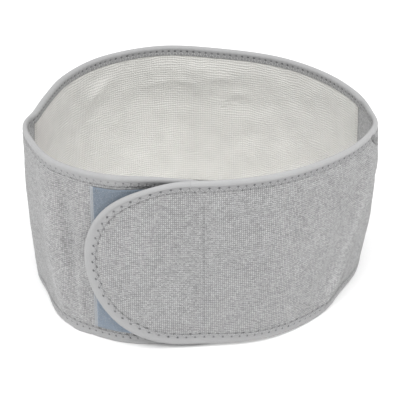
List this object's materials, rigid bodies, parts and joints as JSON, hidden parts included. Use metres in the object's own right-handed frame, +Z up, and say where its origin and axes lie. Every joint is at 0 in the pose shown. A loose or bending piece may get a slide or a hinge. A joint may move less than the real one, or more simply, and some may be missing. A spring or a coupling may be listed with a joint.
{
  "type": "waist warmer belt",
  "caption": "Soft knitted waist belt wrapped into a standing ring, bound edges, pale lining at the back, round tab fastened over a blue loop patch.",
  "frame": {"origin": "middle of the footprint, on the surface that the belt stands on", "axes": "+X to the wearer's left as the belt is seen from its front, +Y to the back, +Z up"},
  "size_m": [0.2724, 0.2518, 0.143],
  "materials": {
    "shell_knit": "heathered grey jersey",
    "lining_knit": "off-white ribbed knit",
    "binding_tape": "smooth grey knitted tape",
    "loop_pile": "blue-grey brushed loops",
    "hook_tape": "grey moulded hooks"
  },
  "bodies": {
    "root": {"shell_band": "shell_knit", "back_lining": "lining_knit", "edge_binding": "binding_tape", "loop_patch": "loop_pile", "hook_patch": "hook_tape"}
  },
  "joints": []
}
